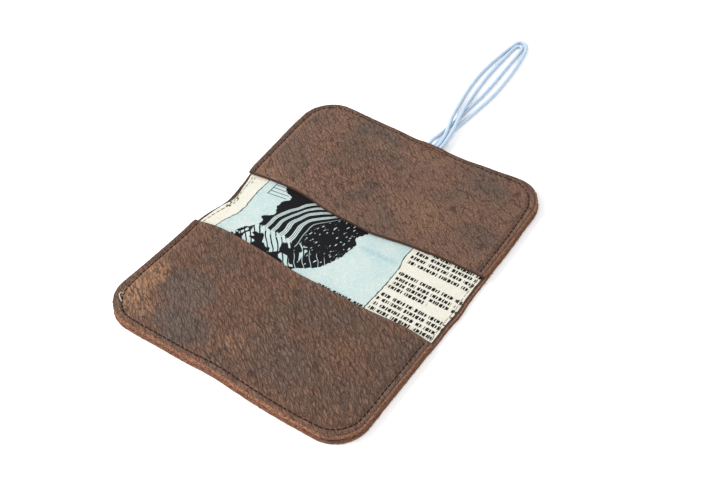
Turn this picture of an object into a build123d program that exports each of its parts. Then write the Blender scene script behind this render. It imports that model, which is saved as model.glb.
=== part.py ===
from build123d import *
import math
import os

# Fold-over leather needle case, lying fully open on a table. Millimetres.
# Origin: middle of the spine, on the table. +X runs along the spine, +Y to the far leaf,
# which holds the elastic, and +Z is up.

# Driving dimensions
CASE_WIDTH = 121.0            # along the spine
LEAF_LENGTH = 75.8            # spine centre to outer edge
CORNER_RADIUS = 14.5
COVER_THICKNESS = 1.8         # outer hide
LINING_THICKNESS = 0.35       # printed cotton
STACK_THICKNESS = 4.0         # cover, lining and pocket panel, pressed together in the seam
CORD_DIAMETER = 1.7           # elastic

# The side edges pull in at the spine, more on the left than on the right
WAIST_DEPTH_LEFT = 3.4
WAIST_DEPTH_RIGHT = 1.6
WAIST_HALF_LENGTH = 22.0

# The spine: the near leaf turns about an axis 4.9 mm above the table, so that the leaves close
# face to face
SPINE_GAP = 0.15              # half of the cut between the two halves of the cover
SPINE_ZONE = 1.0              # edges nearer to the spine than this stay sharp

# Edges
COVER_EDGE_FILLET = 0.4
LINING_INSET = 1.2
PANEL_INSET = 0.3
PANEL_EDGE_FILLET = 0.35

# Pocket mouths: distance from the spine at the left end, the middle and the right end
NEAR_MOUTH = (16.6, 18.2, 19.2)
FAR_MOUTH = (17.3, 15.0, 19.6)
POCKET_RIM = 4.4              # stitched border round the pocket's inside
POCKET_DEPTH = 0.5            # slack between the panel and the lining

# Seams
SEAM_INSET = 3.3
STITCH_PITCH = 2.25
STITCH_LENGTH = 1.55
STITCH_WIDTH = 0.5
STITCH_HEIGHT = 0.2
SEAM_MOUTH_CLEARANCE = 1.0

# Bar tacks over the elastic's tails
TACK_INSETS = (1.7, 5.0)
TACK_PITCH = 1.7
TACK_LENGTH = 1.25
TACK_START = -6.0
TACK_COUNT = 10

# The four tails of the elastic, flattened in the seam
TAIL_POSITIONS = (-2.2, 1.1, 3.9, 6.4)
TAIL_LENGTH = 9.0
TAIL_WIDTH = 1.9
TAIL_HEIGHT = 1.1
TAIL_CLEARANCE = 0.05

# Routes of the two elastic loops: out of the far edge, along the table, round the fold
# at the tip and back. Each left-hand strand passes over the two right-hand ones.
EXIT_HIGH = 3.1
EXIT_LOW = 2.4
TABLE_CLEARANCE = 0.03
ON_TABLE = CORD_DIAMETER / 2 + TABLE_CLEARANCE
OUTER_ROUTE = [
    (3.9, LEAF_LENGTH, EXIT_HIGH),
    (3.9, 79.6, EXIT_HIGH),
    (2.3, 85.6, 3.15),
    (-0.3, 92.2, 3.0),
    (-3.0, 100.5, 1.7),
    (-5.1, 110.0, ON_TABLE),
    (-6.7, 120.5, ON_TABLE),
    (-7.5, 131.0, ON_TABLE),
    (-7.2, 141.0, ON_TABLE),
    (-6.4, 149.5, ON_TABLE),
    (-5.6, 155.8, ON_TABLE),
    (-4.7, 161.3, ON_TABLE),
    (-3.3, 166.5, ON_TABLE),
    (0.9, 165.7, ON_TABLE),
    (3.1, 160.6, ON_TABLE),
    (4.2, 154.2, ON_TABLE),
    (5.1, 146.0, ON_TABLE),
    (5.8, 136.5, ON_TABLE),
    (6.0, 127.0, ON_TABLE),
    (5.4, 117.5, ON_TABLE),
    (4.3, 108.0, ON_TABLE),
    (3.3, 98.8, ON_TABLE),
    (2.2, 90.5, ON_TABLE),
    (1.4, 84.6, 1.0),
    (1.1, 79.6, EXIT_LOW),
    (1.1, LEAF_LENGTH, EXIT_LOW),
]
INNER_ROUTE = [
    (6.4, LEAF_LENGTH, EXIT_HIGH),
    (6.4, 79.8, EXIT_HIGH),
    (4.4, 86.2, 3.15),
    (2.7, 92.8, 3.05),
    (0.9, 100.0, 2.9),
    (-0.6, 106.5, 2.4),
    (-2.0, 114.5, 1.0),
    (-3.0, 123.0, ON_TABLE),
    (-3.6, 132.5, ON_TABLE),
    (-3.6, 142.0, ON_TABLE),
    (-3.4, 150.5, ON_TABLE),
    (-3.2, 158.3, ON_TABLE),
    (-2.5, 163.3, ON_TABLE),
    (0.5, 162.8, ON_TABLE),
    (1.1, 157.8, ON_TABLE),
    (1.0, 151.4, ON_TABLE),
    (1.2, 144.0, ON_TABLE),
    (1.5, 135.5, ON_TABLE),
    (1.6, 127.0, ON_TABLE),
    (1.3, 118.0, ON_TABLE),
    (0.6, 109.5, ON_TABLE),
    (0.2, 101.5, ON_TABLE),
    (-0.4, 94.5, ON_TABLE),
    (-1.4, 88.6, ON_TABLE),
    (-2.0, 83.8, 1.1),
    (-2.2, 79.4, EXIT_LOW),
    (-2.2, LEAF_LENGTH, EXIT_LOW),
]
ARC_SHARE = 0.45              # of the shorter run, taken by each rounded corner

CUT_MARGIN = 5.0              # how far the block that cuts a mouth reaches past the leaf

HALF_WIDTH = CASE_WIDTH / 2
LINING_TOP = COVER_THICKNESS + LINING_THICKNESS
WAIST_STEPS = 4


def waist(y, depth):
    """How far a side edge is pulled in at the distance y from the spine."""
    if abs(y) >= WAIST_HALF_LENGTH:
        return 0.0
    return depth * (1 + math.cos(math.pi * y / WAIST_HALF_LENGTH)) / 2


def side_x(y, side):
    """X of a leaf's side edge: side is -1 on the left and +1 on the right."""
    depth = WAIST_DEPTH_LEFT if side < 0 else WAIST_DEPTH_RIGHT
    return side * (HALF_WIDTH - waist(y, depth))


def side_edge(side, inset, start):
    """The waisted stretch of a side edge, from the spine outwards."""
    ys = [start + (WAIST_HALF_LENGTH - start) * i / WAIST_STEPS for i in range(WAIST_STEPS + 1)]
    points = [(side_x(y, side) - side * inset, y) for y in ys]
    return Spline(points, tangents=[(0, 1), (0, 1)])


def leaf_face(inset, start):
    """A leaf's outline as a face, inset from its free edges, from the distance start on."""
    x = HALF_WIDTH - inset
    y = LEAF_LENGTH - inset
    radius = CORNER_RADIUS - inset
    left = side_edge(-1, inset, start)
    right = side_edge(1, inset, start)
    edges = [
        left,
        Line((-x, WAIST_HALF_LENGTH), (-x, y - radius)),
        ThreePointArc((-x, y - radius), corner_middle(-1, x, y, radius), (-x + radius, y)),
        Line((-x + radius, y), (x - radius, y)),
        ThreePointArc((x - radius, y), corner_middle(1, x, y, radius), (x, y - radius)),
        Line((x, y - radius), (x, WAIST_HALF_LENGTH)),
        right,
        Line(right @ 0, left @ 0),
    ]
    return make_face(Wire(edges))


def corner_middle(side, x, y, radius):
    """The point halfway round an outer corner."""
    reach = radius * (1 - math.sqrt(0.5))
    return (side * (x - reach), y - reach)


def plate(face, bottom, thickness):
    """A flat layer of the leaf."""
    return Pos(0, 0, bottom) * extrude(face, thickness, dir=(0, 0, 1))


def beyond_mouth(mouth):
    """A tall block that covers everything outside the pocket's mouth."""
    left, middle, right = mouth
    reach = HALF_WIDTH + CUT_MARGIN
    far = LEAF_LENGTH + CUT_MARGIN
    height = STACK_THICKNESS + 2 * CUT_MARGIN
    edge = ThreePointArc((-reach, left), (0, middle), (reach, right))
    sides = Polyline((reach, right), (reach, far), (-reach, far), (-reach, left))
    outline = Wire([edge, *sides.edges()])
    return plate(make_face(outline), -CUT_MARGIN, height)


def make_cover():
    """One leaf of the outer hide, with eased edges."""
    solid = plate(leaf_face(0, SPINE_GAP), 0, COVER_THICKNESS)
    rims = solid.faces().sort_by(Axis.Z)
    loops = [edge for rim in (rims[0], rims[-1]) for edge in rim.edges() if edge.center().Y > SPINE_ZONE]
    return fillet(loops, COVER_EDGE_FILLET)


def make_lining():
    """One leaf of the cotton lining."""
    return plate(leaf_face(LINING_INSET, SPINE_GAP), COVER_THICKNESS, LINING_THICKNESS)


def make_panel(mouth):
    """A pocket panel, stitched round three sides and slack over the pocket inside."""
    block = plate(leaf_face(PANEL_INSET, SPINE_GAP), LINING_TOP, STACK_THICKNESS - LINING_TOP)
    panel = (block & beyond_mouth(mouth)).solids()[0]
    top = panel.faces().sort_by(Axis.Z)[-1]
    panel = fillet(top.edges(), PANEL_EDGE_FILLET)
    pocket = plate(leaf_face(POCKET_RIM, SPINE_GAP), LINING_TOP, POCKET_DEPTH)
    return (panel - pocket).solids()[0]


def make_tails():
    """The elastic's four tails, held in the seam."""
    tails = []
    for x in TAIL_POSITIONS:
        tail = Box(TAIL_WIDTH, TAIL_LENGTH, TAIL_HEIGHT, align=(Align.CENTER, Align.MAX, Align.MIN))
        tails.append(Pos(x, LEAF_LENGTH, LINING_TOP) * tail)
    return tails


def cut_tail_channel(panel):
    """Room for the elastic's tails under the far panel."""
    low = min(TAIL_POSITIONS) - TAIL_WIDTH / 2 - TAIL_CLEARANCE
    high = max(TAIL_POSITIONS) + TAIL_WIDTH / 2 + TAIL_CLEARANCE
    size = (high - low, TAIL_LENGTH + TAIL_CLEARANCE, TAIL_HEIGHT + TAIL_CLEARANCE)
    channel = Box(*size, align=(Align.MIN, Align.MAX, Align.MIN))
    return (panel - Pos(low, LEAF_LENGTH, LINING_TOP) * channel).solids()[0]


def stitch(x, y, z, angle, length):
    """One stitch lying on the surface, turned to follow the seam."""
    body = Box(length, STITCH_WIDTH, STITCH_HEIGHT, align=(Align.CENTER, Align.CENTER, Align.MIN))
    return Pos(x, y, z) * Rot(0, 0, angle) * body


def seam_path():
    """The seam round a leaf's outer edges, from the left mouth to the right."""
    x = HALF_WIDTH - SEAM_INSET
    y = LEAF_LENGTH - SEAM_INSET
    corners = [(-x, 0), (-x, y), (x, y), (x, 0)]
    return FilletPolyline(*corners, radius=CORNER_RADIUS - SEAM_INSET)


def make_pocket_seam(mouth):
    """Stitches through the panel, cover and lining along three sides."""
    path = seam_path()
    stitches = []
    for i in range(int(path.length / STITCH_PITCH)):
        distance = (i + 0.5) * STITCH_PITCH
        point = path.position_at(distance, position_mode=PositionMode.LENGTH)
        tangent = path.tangent_at(distance, position_mode=PositionMode.LENGTH)
        limit = (mouth[0] if point.X < 0 else mouth[2]) + SEAM_MOUTH_CLEARANCE
        if point.Y < limit:
            continue
        angle = math.degrees(math.atan2(tangent.Y, tangent.X))
        x = point.X - math.copysign(waist(point.Y, waist_depth(point.X)), point.X)
        stitches.append(stitch(x, point.Y, STACK_THICKNESS, angle, STITCH_LENGTH))
    return stitches


def waist_depth(x):
    """The waist's depth on the side where x lies."""
    return WAIST_DEPTH_LEFT if x < 0 else WAIST_DEPTH_RIGHT


def make_gutter_seam(mouth):
    """Stitches that hold the lining's side edges between the spine and the mouth."""
    stitches = []
    for side, end in ((-1, mouth[0]), (1, mouth[2])):
        for i in range(int(end / STITCH_PITCH)):
            y = (i + 0.5) * STITCH_PITCH
            if y > end - SEAM_MOUTH_CLEARANCE:
                continue
            x = side_x(y, side) - side * SEAM_INSET
            stitches.append(stitch(x, y, LINING_TOP, 90, STITCH_LENGTH))
    return stitches


def make_tacks():
    """Short rows of extra stitches that hold the elastic's tails."""
    tacks = []
    for inset in TACK_INSETS:
        for i in range(TACK_COUNT):
            x = TACK_START + i * TACK_PITCH
            tacks.append(stitch(x, LEAF_LENGTH - inset, STACK_THICKNESS, 0, TACK_LENGTH))
    return tacks


def corner_radii(points):
    """The radius of each corner's arc, as large as its two runs allow."""
    radii = []
    for before, here, after in zip(points, points[1:], points[2:]):
        incoming = Vector(*here) - Vector(*before)
        outgoing = Vector(*after) - Vector(*here)
        half_turn = math.radians(incoming.get_angle(outgoing)) / 2
        shorter = min(incoming.length, outgoing.length)
        radii.append(ARC_SHARE * shorter / math.tan(half_turn))
    return radii


def make_cord(name, points):
    """An elastic loop: a round tube along straight runs joined by tangent arcs."""
    radii = corner_radii(points)
    path = FilletPolyline(*points, radius=radii)
    start = Plane(origin=path @ 0, z_dir=path % 0)
    tube = sweep(start * Circle(CORD_DIAMETER / 2), path=path)
    section = math.pi * CORD_DIAMETER ** 2 / 4
    print(name, "length", round(path.length, 1), "radii", [round(r, 1) for r in radii])
    print(name, "volume", round(tube.volume, 2), "section times length", round(section * path.length, 2))
    return tube


def to_near_leaf(shapes):
    """The same shapes on the near leaf: turned over the spine, with left and right kept."""
    return [mirror(shape, about=Plane.XZ) for shape in shapes]


def write(node, shapes):
    """One STEP file for a node, holding its separate solids."""
    solids = [solid for shape in shapes for solid in shape.solids()]
    shape = solids[0] if len(solids) == 1 else Compound(children=solids)
    shape.label = node
    export_step(shape, os.path.join("parts", node + ".step"))


def main():
    os.makedirs("parts", exist_ok=True)
    cover = make_cover()
    lining = make_lining()
    write("far_cover", [cover])
    write("near_cover", to_near_leaf([cover]))
    write("far_lining", [lining])
    write("near_lining", to_near_leaf([lining]))
    write("far_pocket_panel", [cut_tail_channel(make_panel(FAR_MOUTH))])
    write("near_pocket_panel", to_near_leaf([make_panel(NEAR_MOUTH)]))
    write("far_seam_stitches", make_pocket_seam(FAR_MOUTH))
    write("near_seam_stitches", to_near_leaf(make_pocket_seam(NEAR_MOUTH)))
    write("far_gutter_stitches", make_gutter_seam(FAR_MOUTH))
    write("near_gutter_stitches", to_near_leaf(make_gutter_seam(NEAR_MOUTH)))
    write("elastic_tails", make_tails())
    write("elastic_bar_tacks", make_tacks())
    write("elastic_outer_loop", [make_cord("elastic_outer_loop", OUTER_ROUTE)])
    write("elastic_inner_loop", [make_cord("elastic_inner_loop", INNER_ROUTE)])


main()
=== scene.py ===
import math
import random
from functools import reduce

import bmesh
import bpy
import numpy as np
from mathutils import Matrix, Vector, noise


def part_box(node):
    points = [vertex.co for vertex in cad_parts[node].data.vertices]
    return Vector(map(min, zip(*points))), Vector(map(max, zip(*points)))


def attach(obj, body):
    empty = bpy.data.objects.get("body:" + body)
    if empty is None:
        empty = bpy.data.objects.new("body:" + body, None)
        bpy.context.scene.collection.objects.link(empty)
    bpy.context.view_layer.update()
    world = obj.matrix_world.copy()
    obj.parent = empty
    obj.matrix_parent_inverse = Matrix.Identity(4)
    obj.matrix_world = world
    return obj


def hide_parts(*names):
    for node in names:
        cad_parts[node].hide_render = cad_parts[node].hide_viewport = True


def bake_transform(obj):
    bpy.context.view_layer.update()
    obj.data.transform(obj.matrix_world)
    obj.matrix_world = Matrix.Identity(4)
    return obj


# Looks of a fold-over leather needle case, lying open. Shapes are worked out in millimetres
# and turned into metres when a piece is made.

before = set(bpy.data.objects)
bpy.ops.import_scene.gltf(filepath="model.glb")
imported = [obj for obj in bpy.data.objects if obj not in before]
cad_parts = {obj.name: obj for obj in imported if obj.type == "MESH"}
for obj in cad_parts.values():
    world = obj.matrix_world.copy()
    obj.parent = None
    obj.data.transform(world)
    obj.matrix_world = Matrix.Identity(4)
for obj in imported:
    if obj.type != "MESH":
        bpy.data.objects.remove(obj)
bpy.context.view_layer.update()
MM = 0.001


def cad_box(node):
    """Lowest and highest corner of a CAD node, in millimetres."""
    low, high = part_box(node)
    return np.array(low) / MM, np.array(high) / MM


# ---- sizes

HALF_WIDTH, LEAF_LENGTH, COVER_TOP = cad_box("far_cover")[1]
LINING_REACH, _, LINING_TOP = cad_box("far_lining")[1]
PANEL_REACH, _, STACK_TOP = cad_box("far_pocket_panel")[1]
LINING_INSET = HALF_WIDTH - LINING_REACH
PANEL_INSET = HALF_WIDTH - PANEL_REACH
CORNER_RADIUS = 14.5
WAIST_DEPTHS = (3.4, 1.6)        # left and right
WAIST_HALF_LENGTH = 22.0
MOUTH_BASE = 17.0                # the pockets' mouths, from the spine, before they are shaped
PANEL_THICKNESS = 1.7
LINING_THICKNESS = 0.22
CREASE_DEPTH = 0.21
GROOVE_DEPTHS = {"panel": 0.26, "lining": 0.12, "underside": 0.32}
GRAIN_ANGLE = math.radians(-34)  # direction in which the hide creases
FOLD_REACH = 6.0                 # the spine bends between this far each side of its middle

# Seams
SEAM_INSET = 3.3                 # from the outline
SEAM_FROM_EDGE = 3.0             # from the edge of a panel
STITCH_PITCH = 2.25
TACK_PITCH = 1.75
TACK_INSETS = (2.0, 4.4)         # rows of stitches over the elastic, from the far edge
# Where the seam strays: x, y, size, distance outwards
SEAM_WANDERS = ((-57, -66, 9, -1.0), (54, 69, 9, -1.3), (0, -72, 14, -0.4), (52, -68, 8, -0.8))
# Stitches: length, radius, and how far they rise
POCKET_STITCH = (1.6, 0.34, 0.20)
FAR_END_STITCH = (1.6, 0.22, 0.20)
LINING_STITCH = (2.0, 0.14, 0.12)
SECOND_STITCH = (1.5, 0.15, 0.12)
KNOT = (1.1, 0.27, 0.16)
UNDERSIDE_STITCH = (1.6, 0.2, 0.02)
TACK = (1.3, 0.30, 0.18)

# Elastic
CORD_RADIUS = 0.85
TAIL_RUN = 8.8                   # how far its ends reach into the seam

FIBRES_PER_LEAF = 520

# Steps of the grids
HIDE_GRID = 1.3
LINING_GRID = 1.6
PANEL_GRID = 0.45

# ---- camera

LENS = 52.56
CAMERA_AZIMUTH = math.radians(37.532)
CAMERA_ELEVATION = math.radians(47.265)
CAMERA_ROLL = math.radians(-3.747)
CAMERA_DISTANCE = 0.44162
CAMERA_TARGET = Vector((0.0046025, 0.0128287, 0))


def add_object(name, data):
    """A new object in the scene."""
    added = bpy.data.objects.new(name, data)
    bpy.context.scene.collection.objects.link(added)
    return added


def make_camera():
    """The camera, looking down on the open case from the front right."""
    flat = math.cos(CAMERA_ELEVATION)
    back = Vector((
        math.sin(CAMERA_AZIMUTH) * flat,
        -math.cos(CAMERA_AZIMUTH) * flat,
        math.sin(CAMERA_ELEVATION),
    ))
    level = (-back).cross(Vector((0, 0, 1))).normalized()
    steep = level.cross(-back)
    right = level * math.cos(CAMERA_ROLL) + steep * math.sin(CAMERA_ROLL)
    up = steep * math.cos(CAMERA_ROLL) - level * math.sin(CAMERA_ROLL)
    data = bpy.data.cameras.new("camera")
    data.lens = LENS
    data.sensor_width = 36
    data.clip_start = 0.01
    camera = add_object("camera", data)
    turn = Matrix((right, up, back)).transposed().to_4x4()
    camera.matrix_world = Matrix.Translation(CAMERA_TARGET + back * CAMERA_DISTANCE) @ turn
    bpy.context.scene.camera = camera


make_camera()

# ---- materials


class Value:
    """A number from a material's nodes, which can be used in plain arithmetic."""

    def __init__(self, shader, socket):
        self.shader = shader
        self.socket = socket

    def math(self, operation, *others):
        made = self.shader.node("ShaderNodeMath", enumerate((self, *others)), operation=operation)
        return Value(self.shader, made.outputs[0])

    def __add__(self, other):
        return self.math("ADD", other)

    def __sub__(self, other):
        return self.math("SUBTRACT", other)

    def __mul__(self, other):
        return self.math("MULTIPLY", other)

    def __abs__(self):
        return self.math("ABSOLUTE")

    def __rsub__(self, other):
        return self.math("MULTIPLY_ADD", -1.0, other)

    __radd__ = __add__
    __rmul__ = __mul__

    def most(self, other):
        return self.math("MAXIMUM", other)

    def sine(self, period, phase=0.0):
        """A wave between -1 and 1 with the given period."""
        return (self * (math.tau / period) + phase).math("SINE")

    def step(self, low, high):
        """A smooth step: 0 at low and 1 at high, which may be the smaller of the two."""
        made = self.shader.node("ShaderNodeMapRange", interpolation_type="SMOOTHSTEP")
        span = (min(low, high), max(low, high))
        ends = (0.0, 1.0) if low < high else (1.0, 0.0)
        for i, value in enumerate((self, *span, *ends)):
            self.shader.put(made.inputs[i], value)
        return Value(self.shader, made.outputs[0])


class Shader:
    """A material, with short ways to add the nodes it needs."""

    def __init__(self, name):
        self.material = bpy.data.materials.new(name)
        self.material.use_nodes = True
        self.tree = self.material.node_tree
        self.surface = self.tree.nodes["Principled BSDF"]
        self.colour = None

    def put(self, socket, value):
        """A value or a link for a socket."""
        if isinstance(value, Value):
            value = value.socket
        if isinstance(value, bpy.types.NodeSocket):
            self.tree.links.new(value, socket)
        elif isinstance(value, tuple) and len(value) == 3 and len(socket.default_value) == 4:
            socket.default_value = (*value, 1.0)
        else:
            socket.default_value = value

    def node(self, kind, inputs=(), **settings):
        made = self.tree.nodes.new(kind)
        for key, value in settings.items():
            setattr(made, key, value)
        for slot, value in inputs:
            self.put(made.inputs[slot], value)
        return made

    def stored(self, name):
        """A vector kept on the mesh's points."""
        return self.node("ShaderNodeAttribute", attribute_name=name).outputs["Vector"]

    def parts(self, vector):
        """The three numbers of a vector."""
        made = self.node("ShaderNodeSeparateXYZ", [(0, vector)])
        return [Value(self, out) for out in made.outputs]

    def stretched(self, vector, angle, along, across):
        """The vector measured in units of along and across, turned by an angle."""
        made = self.node("ShaderNodeMapping", [(0, vector)], vector_type="TEXTURE")
        made.inputs["Rotation"].default_value = (0, 0, angle)
        made.inputs["Scale"].default_value = (along, across, across)
        return made.outputs[0]

    def noise_node(self, vector, size, detail, roughness=0.5, distortion=0.0):
        names = ("Vector", "Scale", "Detail", "Roughness", "Distortion")
        values = (vector, 1 / size, detail, roughness, distortion)
        return self.node("ShaderNodeTexNoise", zip(names, values))

    def noise(self, vector, size, detail=2.0, *settings):
        """Noise around 0.5; the last settings are roughness and distortion."""
        return Value(self, self.noise_node(vector, size, detail, *settings).outputs[0])

    def vector_math(self, operation, first, second):
        made = self.node("ShaderNodeVectorMath", ((0, first), (1, second)), operation=operation)
        return made.outputs[0]

    def warped(self, vector, size, amount):
        """The vector, pushed about unevenly by up to half the amount."""
        push = self.noise_node(vector, size, 2.0).outputs["Color"]
        centred = self.vector_math("SUBTRACT", push, (0.5, 0.5, 0.5))
        scaled = self.vector_math("MULTIPLY", centred, (amount, amount, amount))
        return self.vector_math("ADD", vector, scaled)

    def curve(self, value, places):
        """A smooth curve through (in, out) places."""
        ins, outs = [place[0] for place in places], [place[1] for place in places]
        span, rise = ins[-1] - ins[0], max(outs) - min(outs)
        made = self.node("ShaderNodeFloatCurve", [("Value", (value - ins[0]) * (1 / span))])
        line = made.mapping.curves[0]
        scaled = [((i - ins[0]) / span, (o - min(outs)) / rise) for i, o in places]
        line.points[0].location, line.points[1].location = scaled[0], scaled[-1]
        for place in scaled[1:-1]:
            line.points.new(*place)
        made.mapping.update()
        return Value(self, made.outputs[0]) * rise + min(outs)

    def cells(self, vector):
        """Distance to the nearest border between irregular cells about 1 wide."""
        inputs = (("Vector", vector), ("Scale", 1.0))
        made = self.node("ShaderNodeTexVoronoi", inputs, feature="DISTANCE_TO_EDGE")
        return Value(self, made.outputs["Distance"])

    def mix(self, share, first, second):
        """The first colour, with a share of the second."""
        inputs = ((0, share), (6, first), (7, second))
        return self.node("ShaderNodeMix", inputs, data_type="RGBA").outputs[2]

    def layer(self, share, colour):
        """Lay a share of another colour over the material's own."""
        self.colour = self.mix(share, self.colour, colour)

    def bump(self, height, depth):
        """Small relief on the surface, depth in millimetres for a height of 1."""
        inputs = (("Height", height), ("Distance", depth * MM))
        self.put(self.surface.inputs["Normal"], self.node("ShaderNodeBump", inputs).outputs[0])

    def finish(self, roughness, specular):
        self.put(self.surface.inputs["Base Color"], self.colour)
        self.put(self.surface.inputs["Roughness"], roughness)
        self.surface.inputs["Specular IOR Level"].default_value = specular
        return self.material


NEAR_BROWN = (0.140, 0.071, 0.043)
FAR_BROWN = (0.166, 0.088, 0.058)
GREY_BROWN = (0.090, 0.068, 0.055)
TAN = (0.250, 0.132, 0.072)
DARK_BROWN = (0.034, 0.016, 0.010)
WORN_MOUTH = (0.085, 0.040, 0.024)
# Fibres in a cut edge: dark and light, and where in their noise they change
PALE_CUT = ((0.100, 0.040, 0.022), (0.370, 0.170, 0.098), 0.40, 0.62)
MIXED_CUT = ((0.070, 0.030, 0.018), (0.320, 0.155, 0.088), 0.34, 0.66)
DARK_CUT = ((0.022, 0.010, 0.007), (0.070, 0.032, 0.020), 0.40, 0.70)

# Patches of other colour on the hides: x, y, half length, half width, strength
NEAR_TAN = (
    (-54, -57, 7, 15, 1.0), (-49, -66, 8, 6, 0.7), (-4, -61, 11, 6, 0.28), (34, -34, 6, 12, 0.12),
)
NEAR_GREY = (
    (-36, -49, 13, 10, 0.8), (-26, -64, 13, 9, 0.9), (14, -57, 14, 11, 0.5), (-35, -30, 9, 6, 0.4),
    (15, -31, 14, 9, 0.4), (51, -29, 7, 9, 0.4),
)
FAR_TAN = ((-46, 22, 12, 5, 0.3), (-21, 63, 9, 4, 0.3), (20, 36, 14, 9, 0.3), (3, 66, 9, 4, 0.3))
FAR_GREY = (
    (-22, 67, 14, 6, 0.7), (-7, 36, 4, 8, 0.6), (47, 39, 9, 6, 0.5), (37, 65, 10, 5, 0.5),
    (-52, 63, 7, 8, 0.4), (-10, 58, 8, 5, 0.4),
)
# Length and width of the pebbles in the grain, at the left end and at the right end
NEAR_GRAIN = ((4.6, 1.25), (4.6, 1.25))
FAR_GRAIN = ((2.8, 1.2), (1.3, 1.0))
HIDE_GRAIN = ((2.4, 1.4), (1.6, 1.2))


def patch(shader, place, spots):
    """How far a point is inside soft-edged, ragged patches."""
    ragged = shader.noise(place, 7.0, 3.0) - 0.5
    x, y, _ = shader.parts(place)
    shares = []
    for middle_x, middle_y, half_length, half_width, strength in spots:
        across = (x - middle_x) * (1 / half_length)
        up = (y - middle_y) * (1 / half_width)
        reach = (across * across + up * up) + ragged * 1.6
        shares.append(reach.step(1.5, 0.3) * strength)
    return reduce(Value.most, shares)


def fibre_colour(shader, fibres, look):
    dark, light, low, high = look
    return shader.mix(fibres.step(low, high), dark, light)


def leather(name, brown, tan_spots, grey_spots, grain):
    """Oiled brown leather: pebbled grain, creased valleys, a worn seam and a fibrous cut edge, with
    painted shade and painted highlights in the grain, beside the seam and on the cut edge.
    """
    shader = Shader(name)
    place = shader.stored("rest")
    inset, from_mouth, valley = shader.parts(shader.stored("zone"))
    x, y, z = shader.parts(place)
    bent = shader.warped(place, 3.2, 1.5)
    pebbles = [
        shader.cells(shader.stretched(bent, GRAIN_ANGLE, *size)).step(0.0, 0.13) for size in grain
    ]
    rightness = (x + (shader.noise(place, 20.0) - 0.5) * 40.0).step(-12.0, 26.0)
    pebble = pebbles[0] + (pebbles[1] - pebbles[0]) * rightness
    wrinkles = shader.noise(shader.stretched(bent, GRAIN_ANGLE, 8.0, 1.9), 1.0, 1.0)
    fine = abs(wrinkles - 0.5).step(0.0, 0.05)

    light = tuple(1.45 * part for part in brown)
    broad = shader.noise(place, 22.0, 3.0)
    medium = shader.noise(shader.stretched(bent, GRAIN_ANGLE, 7.0, 3.0), 1.0, 3.0, 0.6)
    speckle = shader.noise(place, 0.8, 3.0, 0.7)

    # the hide's own colour and marks of handling; painted shade in the pebbles' crevices, fine wrinkles
    # and crease valleys, and a faint painted highlight on the crests
    shader.colour = brown
    shader.layer(broad.step(0.46, 0.64) * 0.45, GREY_BROWN)
    shader.layer(medium.step(0.50, 0.72) * 0.08, light)
    shader.layer(medium.step(0.48, 0.30) * 0.08, DARK_BROWN)
    shader.layer(patch(shader, place, grey_spots), GREY_BROWN)
    shader.layer(patch(shader, place, tan_spots), TAN)
    # faint painted highlight on the pebbles' crests
    shader.layer(pebble.step(0.70, 1.0) * 0.04, light)
    # painted shade in the crevices between pebbles, in the fine wrinkles and in the crease valleys
    shader.layer((1.0 - pebble) * 0.52, DARK_BROWN)
    shader.layer((1.0 - fine) * 0.80, DARK_BROWN)
    shader.layer(valley * 0.46, DARK_BROWN)
    shader.layer(speckle.step(0.52, 0.75) * 0.12, light)
    shader.layer(speckle.step(0.48, 0.25) * 0.38, DARK_BROWN)

    # outside the seam the left and far sides are darker; inside it the ridge gets a painted highlight on
    # the left side and painted shade on the right
    left_side = x.step(-52.0, -57.0)
    right_side = x.step(51.0, 56.0)
    near_side = y.step(-70.0, -73.0) * abs(x + 3.0).step(55.0, 49.0)
    allowance = inset.step(SEAM_FROM_EDGE - 0.1, SEAM_FROM_EDGE - 0.7)
    shader.layer(allowance * (1.0 - near_side.most(right_side)) * 0.40, DARK_BROWN)
    shader.layer(abs(inset - 1.0).step(0.42, 0.12) * right_side * 0.65, DARK_BROWN)
    shader.layer(abs(inset - 1.9).step(0.35, 0.10) * left_side * 0.45, DARK_BROWN)
    ridge = inset.step(SEAM_FROM_EDGE + 0.2, SEAM_FROM_EDGE + 0.7) * inset.step(5.6, 4.0)
    # painted highlight on the ridge's left-facing slope, then painted shade on its right-facing slope
    shader.layer(ridge * left_side * 0.28, TAN)
    shader.layer(ridge * right_side * 0.45, DARK_BROWN)
    seam_line = abs(inset - SEAM_FROM_EDGE).step(0.50, 0.15) * (1.0 - y.step(66.0, 71.0) * 0.6)
    shader.layer(seam_line * 0.50, DARK_BROWN)

    # the cut edge shows the fibres inside the hide: pale at the near side, browner at the right, partly
    # their own colour and partly painted light, the near face lit and the right face in shade
    fibres = shader.noise(place, 0.8, 4.0, 0.8)
    ragged = (shader.noise(place, 1.3, 3.0) - 0.5) * 1.6
    frayed = (inset + ragged).step(1.1, 0.5) * near_side
    worn_rim = (inset + ragged * 0.3).step(0.80, 0.50) * right_side
    cut = inset.step(0.30, 0.04)
    pale, mixed, dark = [
        fibre_colour(shader, fibres, look) for look in (PALE_CUT, MIXED_CUT, DARK_CUT)
    ]
    right_cut = right_side.most(x.step(43.0, 49.0) * y.step(-60.0, -66.0))
    # partly painted light: the near cut face paler as if lit, the right one browner as if in shade
    cut_colour = shader.mix(right_cut, shader.mix(near_side, dark, pale), mixed)
    # painted shade on the cut faces where the two hides meet, in the gap between them
    shade_between_hides = z.step(1.1, 1.7) * z.step(3.1, 2.6) * cut
    cut_colour = shader.mix(shade_between_hides * 0.75, cut_colour, DARK_BROWN)
    shader.layer(frayed.most(worn_rim).most(cut), cut_colour)
    mouth = from_mouth.step(0.40, 0.08)
    shader.layer(mouth, shader.mix(fibres, DARK_BROWN, WORN_MOUTH))

    raw = frayed.most(cut).most(mouth)
    relief = pebble * 0.6 + fine * 0.3 + speckle * 0.35 - valley * 0.5
    relief = relief * (1.0 - raw) + fibres * raw * 2.2
    shader.bump(relief, 0.35)
    return shader.finish(0.46 + medium * 0.16 + speckle * 0.14 + raw * 0.25, 0.24)


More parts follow.
